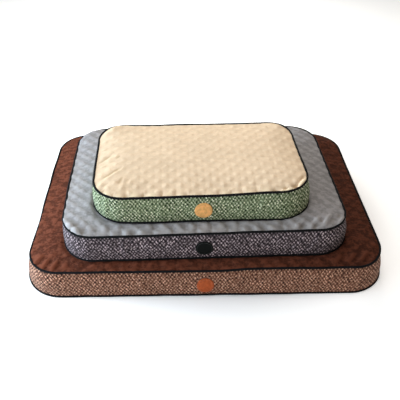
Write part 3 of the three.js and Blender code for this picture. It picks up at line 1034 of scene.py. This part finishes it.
def bands(bed, made, points):
    """The printed side band and the two back strips beside the zip; returns their surfaces."""
    ring, along = len(made["along"]), made["along"]
    back_start, back_end = back_stretch(bed)
    back = np.arange(back_start, back_end + 1)
    rest = np.arange(back_end, ring + back_start + 1)
    strips = {
        "side_band": (rest, slice(None), "front_band"),
        "back_band_upper": (back, slice(None, UPPER_LEVELS + 1), "rear_band_upper"),
        "back_band_lower": (back, slice(UPPER_LEVELS + 2, None), "rear_band_lower"),
    }
    surfaces = {}
    for label, (columns, rows, node) in strips.items():
        ids = made["loops"][rows][:, columns % ring]
        flat = np.zeros((*ids.shape, 2))
        flat[..., 0] = (along[columns % ring] + (columns >= ring) * ring_length(bed))[None]
        flat[..., 1] = made["levels"][rows][:, None]
        strip = sheet_piece(bed, label, points[ids], flat)
        shape_band(bed, strip)
        faces = [tuple(face.vertices) for face in strip.data.polygons]
        surfaces[label] = BVHTree.FromPolygons([v.co.copy() for v in strip.data.vertices], faces)
        cut = np.ptp(flat, axis=(0, 1))
        finish_sheet(strip, bed, f"{bed['name']}_canvas", node, CANVAS_THICKNESS, cut)
    return surfaces


def turns(sides):
    """Angles of the points round a ring."""
    return np.arange(sides) / sides * math.tau


def pipings(bed):
    """The cloth-covered cords in the top and bottom seams, ribbed by the bias-cut cloth."""
    turn = turns(CORD_SIDES)
    for level, label in enumerate(("top_piping", "bottom_piping")):
        path, normals, along = seam_line(bed, level, finer=4)
        path[:, 2] += level * (CORD_RADIUS - PIPING_RADIUS)
        ribs = np.sin(along[:, None] * math.tau / PIPING_RIB + 2 * turn)
        reach = CORD_RADIUS * (1 + CORD_RIBS * ribs)
        out = np.column_stack([normals, np.zeros(len(normals))])
        points = path[:, None] + out[:, None] * (reach * np.cos(turn))[..., None]
        points[..., 2] += reach * np.sin(turn)
        quads = grid_quads(len(path), CORD_SIDES, (True, True))
        piece = solid_piece(bed, f"{label}_cord", points.reshape(-1, 3), quads, "piping_black", label)
        around = np.tile(turn * CORD_RADIUS, len(path))
        set_flat(piece.data, np.stack([np.repeat(along, CORD_SIDES), around], 1))


def side_lean(bed):
    """How far the band leans out for each metre down."""
    return bed["flare"] / (bed["top_seam"] - bed["bottom_seam"])


def foam_slab(bed, part, look):
    """A cut foam block with eased edges and leaning sides, inside the space of its CAD solid."""
    low, high = local_box(bed, part)
    inset = bed["half"][0] + side_lean(bed) * (bed["top_seam"] - low[2]) - (high - low)[0] / 2
    arc = np.arange(5) / 4 * math.pi / 2
    ease = FOAM_EASE * np.column_stack([np.sin(arc) - 1, 1 - np.cos(arc)])
    top = high[2] - low[2] - FOAM_ROOM
    section = np.concatenate([ease, (ease * (1, -1) + (0, top))[::-1]])
    line, normals, _ = ring_points(bed)
    rings = []
    for shift, height in section[::-1]:
        out = side_lean(bed) * (bed["top_seam"] - low[2] - height) + shift - inset
        rings.append(np.column_stack([line + normals * out, np.full(len(line), low[2] + height)]))
    upper, lower = fill_grid(bed, rings[0]), fill_grid(bed, rings[-1])
    vertices, _, quads = closed_body(bed, upper, lower, rings[1:-1])
    piece = solid_piece(bed, f"{part}_block", vertices, quads, look, part)


# ---- Patch and stitches --------------------------------------------------------------------
def tube_faces(count, rings, sides, flip=False):
    """Faces of a number of short tubes, each of rings of points and closed at both ends."""
    quads = grid_quads(rings, sides, (False, True))[:, [0, 3, 2, 1]]
    caps = [np.arange(sides)[::-1], np.arange(sides) + (rings - 1) * sides]
    faces = [face[::-1] if flip else face for face in (*quads, *caps)]
    return [face + n * rings * sides for n in range(count) for face in faces]


def stitching(bed, label, stitches, radius, look, slot):
    """Thread stitches (start, end, outward): each a fat lozenge, bowed outwards."""
    starts, ends, outs = [np.array(column) for column in zip(*stitches)]
    run = ends - starts
    across = np.cross(run, outs)
    across /= np.linalg.norm(across, axis=1, keepdims=True)
    share = np.linspace(0, 1, STITCH_RINGS)
    bow = np.sin(math.pi * share)
    fat = radius * np.maximum(0.25, np.abs(bow) ** 0.5)
    centre = starts[:, None] + run[:, None] * share[:, None]
    centre += outs[:, None] * (0.9 * radius * bow)[:, None]
    turn = turns(STITCH_SIDES)[:, None]
    around = np.cos(turn) * across[:, None] + np.sin(turn) * outs[:, None]
    points = centre[:, :, None] + fat[:, None, None] * around[:, None]
    faces = tube_faces(len(run), STITCH_RINGS, STITCH_SIDES)
    solid_piece(bed, label, points.reshape(-1, 3), faces, look, slot=slot)


def patch_point(surface, centre, radius, share, height, angle):
    """A point of the patch, straight before the band's surface under it."""
    u, v = radius * share * math.cos(angle), radius * share * math.sin(angle)
    place = surface.ray_cast(Vector((centre[0] + u, -2, centre[2] + v)), Vector((0, 1, 0)))[0]
    return np.array(place) - (0, PATCH_THICKNESS * (height + 0.2), 0)


def round_patch(bed, surface):
    """A round patch that follows the band under it, with a ring of stitches."""
    name = bed["name"]
    low, high = local_box(bed, "badge")
    spot = surface, (low + high) / 2, (high[0] - low[0]) / 2
    points = [patch_point(*spot, 0, height, 0) for height in (1.0, -0.2)]
    for share, height in PATCH_SECTION:
        points += [patch_point(*spot, share, height, angle) for angle in turns(PATCH_SIDES)]
    rows = len(PATCH_SECTION)
    last = 2 + (rows - 1) * PATCH_SIDES
    faces = list(grid_quads(rows, PATCH_SIDES, (False, True)) + 2)
    for k in range(PATCH_SIDES):
        beside = (k + 1) % PATCH_SIDES
        faces += [(0, 2 + k, 2 + beside), (1, last + beside, last + k)]
    solid_piece(bed, "patch_disc", points, faces, f"{name}_patch", "badge")

    stitches = []
    for k in range(PATCH_STITCHES):
        angles = [(k + step) / PATCH_STITCHES * math.tau for step in PATCH_STITCH]
        start, end = [patch_point(*spot, *PATCH_GROOVE, angle) for angle in angles]
        stitches.append((start, end, (0.0, -1.0, 0.0)))
    stitching(bed, "patch_stitching", stitches, PATCH_THREAD, f"{name}_thread", f"{name}_patch")


# ---- Zip ------------------------------------------------------------------------------------
ZIP_SIDES = {"upper": 1, "lower": -1}


def zip_teeth(bed, word):
    """One row of coil teeth; the rows mesh in the middle of the zip."""
    side = ZIP_SIDES[word]
    low, high = local_box(bed, f"zip_teeth_{word}")
    reach = (high if side > 0 else low)[2] - bed["zip_middle"]
    half = (high - low)[1] / 2
    count = int((high[0] - low[0]) / TOOTH_PITCH)
    tooth = np.array([
        (TOOTH_PITCH * wide * math.cos(turn), half * thick * math.sin(turn), reach * share)
        for share, wide, thick in TOOTH
        for turn in turns(TOOTH_SIDES)
    ])
    starts = low[0] + TOOTH_PITCH * (np.arange(count) + (0.25 if side > 0 else 0.75))
    places = np.zeros((count, 1, 3)) + (0, (low + high)[1] / 2, bed["zip_middle"])
    places[:, 0, 0] = starts
    faces = tube_faces(count, len(TOOTH), TOOTH_SIDES, flip=side < 0)
    points = (tooth + places).reshape(-1, 3)
    solid_piece(bed, f"zip_coil_{word}", points, faces, "zip_coil", f"zip_teeth_{word}")


def zip_tape(bed, word):
    """A woven tape that runs from the teeth in behind the band, leaning as the band does."""
    side = ZIP_SIDES[word]
    low, high = local_box(bed, f"zip_tape_{word}")
    outer = (high if side > 0 else low)[2] + side * TAPE_HIDDEN
    heights = np.linspace(bed["zip_middle"] + side * TAPE_GAP / 2, outer, TAPE_ROWS)
    across = np.linspace(low[0], high[0], round((high[0] - low[0]) / bed["cell"]))
    points = np.zeros((len(heights), len(across), 3))
    points[..., 0] = across[None]
    points[..., 1] = high[1] - side_lean(bed) * (heights - bed["zip_middle"])[:, None]
    points[..., 2] = heights[:, None]
    points = points if side > 0 else points[:, ::-1]
    piece = sheet_piece(bed, f"zip_tape_{word}_cloth", points, points[..., ::2])
    cut = np.ptp(across), np.ptp(heights)
    finish_sheet(piece, bed, "zip_tape", f"zip_tape_{word}", BASE_THICKNESS, cut)


def zip_stitching(bed, surfaces):
    """A row of stitches along each edge of the zip's opening."""
    reach = local_box(bed, "zip_tape_lower")[1][0] - ZIP_STITCH_STOP
    rows = {
        "back_band_upper": bed["zip_high"] + ZIP_STITCH_INSET,
        "back_band_lower": bed["zip_low"] - ZIP_STITCH_INSET,
    }
    stitches = []
    for label, height in rows.items():
        for x in np.arange(-reach, reach, ZIP_STITCH_PITCH):
            places = [Vector((x + step * ZIP_STITCH_PITCH, 2, height)) for step in ZIP_STITCH]
            first, last = [surfaces[label].ray_cast(place, Vector((0, -1, 0))) for place in places]
            stitches.append((first[0], last[0], first[1]))
    stitching(bed, "zip_stitching", stitches, ZIP_THREAD, "thread_dark", "zip_tape")


def zip_metal(bed):
    """The CAD slider, pull and stops, with eased edges and a metal finish."""
    for part in ("zip_slider", "zip_pull", "zip_stop_left", "zip_stop_right"):
        node = frame["nodes"][f"{bed['name']}_{part}"]
        node.data.materials.clear()
        node.data.materials.append(MATERIALS["zip_metal"])
        ease = node.modifiers.new("eased", "BEVEL")
        ease.width = METAL_EASE
        ease.segments = 2
        ease.limit_method = "ANGLE"


# ---- Room, lights and camera ---------------------------------------------------------------
AIM = (0.0, 0.0, 0.1)
ROOM_GLOW = (0.0, 0.35, 0.75, 0.1)  # low and high in the room, and how bright it is at each
ROOM_LEFT, ROOM_RIGHT = (0.96, 1.02, 1.08), (0.84, 0.70, 0.50)  # the room's colours
FLOOR_REACH = 12.0
FLOOR_GLOW = (0.48, 0.72, 0.10, 0.5)  # near and far distance from the middle, and the painted glow at each
LENS = 45.13  # mm, with a sensor 36 mm wide
CAMERA_PLACE = (-0.0709, -1.3763, 1.2367)
CAMERA_ANGLES = (2.49, 40.52, 1.07)  # degrees turned to the right, looking down, and rolled
LIGHTS = [
    ("left_softbox", (-2.0, 0.0, 0.8), (1.2, 1.0), 45, (0.66, 0.84, 1.0)),
    ("low_left_softbox", (-1.8, -0.6, 0.35), (1.0, 0.5), 9, (0.50, 0.74, 1.0)),
    ("left_front_softbox", (-1.6, -1.3, 1.3), (1.2, 1.0), 19, (0.88, 0.94, 1.0)),
    ("left_back_softbox", (-0.9, 1.7, 1.6), (1.2, 1.0), 14, (0.98, 1.0, 0.96)),
    ("back_softbox", (0.3, 2.0, 1.5), (1.2, 1.0), 21, (1.0, 0.96, 0.91)),
    ("overhead_softbox", (0.1, 0.0, 2.2), (1.2, 1.0), 14, (1.0, 0.965, 0.92)),
]


def floor():
    """White paper with painted light: it glows, more farther from the pile, so a painted shadow lies
    round the pile.
    """
    ends = (-FLOOR_REACH, FLOOR_REACH)
    corners = [(x, y, -0.5 * MM) for x in ends for y in ends]
    piece = mesh_object("floor", corners, [(0, 2, 3, 1)])
    look = Look("white_paper", 0.9, Emission_Color=(1.0, 0.98, 0.95, 1))
    away = look.add("VectorMath", "LENGTH")
    look.put(away.inputs[0], look.stretched(look.space, (1, 1.3, 1)))
    look.put(look.shader.inputs["Emission Strength"], look.ease(away.outputs["Value"], *FLOOR_GLOW))
    look.finish((0.92, 0.92, 0.92, 1))
    piece.data.materials.append(look.material)


def soft_light(name, place, size, power, colour):
    light = bpy.data.lights.new(name, "AREA")
    light.shape = "RECTANGLE"
    light.size, light.size_y = size
    light.energy = power
    light.color = colour
    lamp = bpy.data.objects.new(name, light)
    lamp.location = place
    lamp.rotation_euler = (Vector(AIM) - Vector(place)).to_track_quat("-Z", "Y").to_euler()
    bpy.context.scene.collection.objects.link(lamp)


def room():
    """A white room, cooler to the left and warmer to the right, with its light low down."""
    world = bpy.data.worlds.new("room")
    world.use_nodes = True
    nodes = Nodes(world.node_tree)
    background = nodes.tree.nodes["Background"]
    axes = nodes.axes(nodes.add("TexCoord").outputs["Generated"])
    nodes.put(background.inputs["Strength"], nodes.ease(axes["Z"], *ROOM_GLOW))
    across = nodes.math("MULTIPLY_ADD", axes["X"], 0.5, 0.5)
    nodes.put(background.inputs["Color"], nodes.mix(across, ROOM_LEFT, ROOM_RIGHT))
    bpy.context.scene.world = world
    for light in LIGHTS:
        soft_light(*light)
    bpy.context.scene.view_settings.view_transform = "Standard"


def camera():
    """The photographer's view: a little above the pile, in front of it."""
    data = bpy.data.cameras.new("camera")
    data.sensor_width = 36
    data.lens = LENS
    turn, down, roll = [math.radians(angle) for angle in CAMERA_ANGLES]
    lens = bpy.data.objects.new("camera", data)
    lens.matrix_world = Matrix.Translation(CAMERA_PLACE)
    for angle, axis in ((-turn, "Z"), (math.pi / 2 - down, "X"), (roll, "Z")):
        lens.matrix_world = lens.matrix_world @ Matrix.Rotation(angle, 4, axis)
    bpy.context.scene.collection.objects.link(lens)
    bpy.context.scene.camera = lens


# ---- Build -----------------------------------------------------------------------------------
def build():
    measure_beds()
    for bed in BEDS.values():
        made = shell(bed)
        points = simulate(bed, made)
        panels(bed, made, points)
        surfaces = bands(bed, made, points)
        pipings(bed)
        foam_slab(bed, "foam_base", "foam_core")
        foam_slab(bed, "foam_topper", "foam_memory")
        round_patch(bed, surfaces["side_band"])
        for word in ZIP_SIDES:
            zip_tape(bed, word)
            zip_teeth(bed, word)
        zip_stitching(bed, surfaces)
        zip_metal(bed)


build()
floor()
room()
camera()
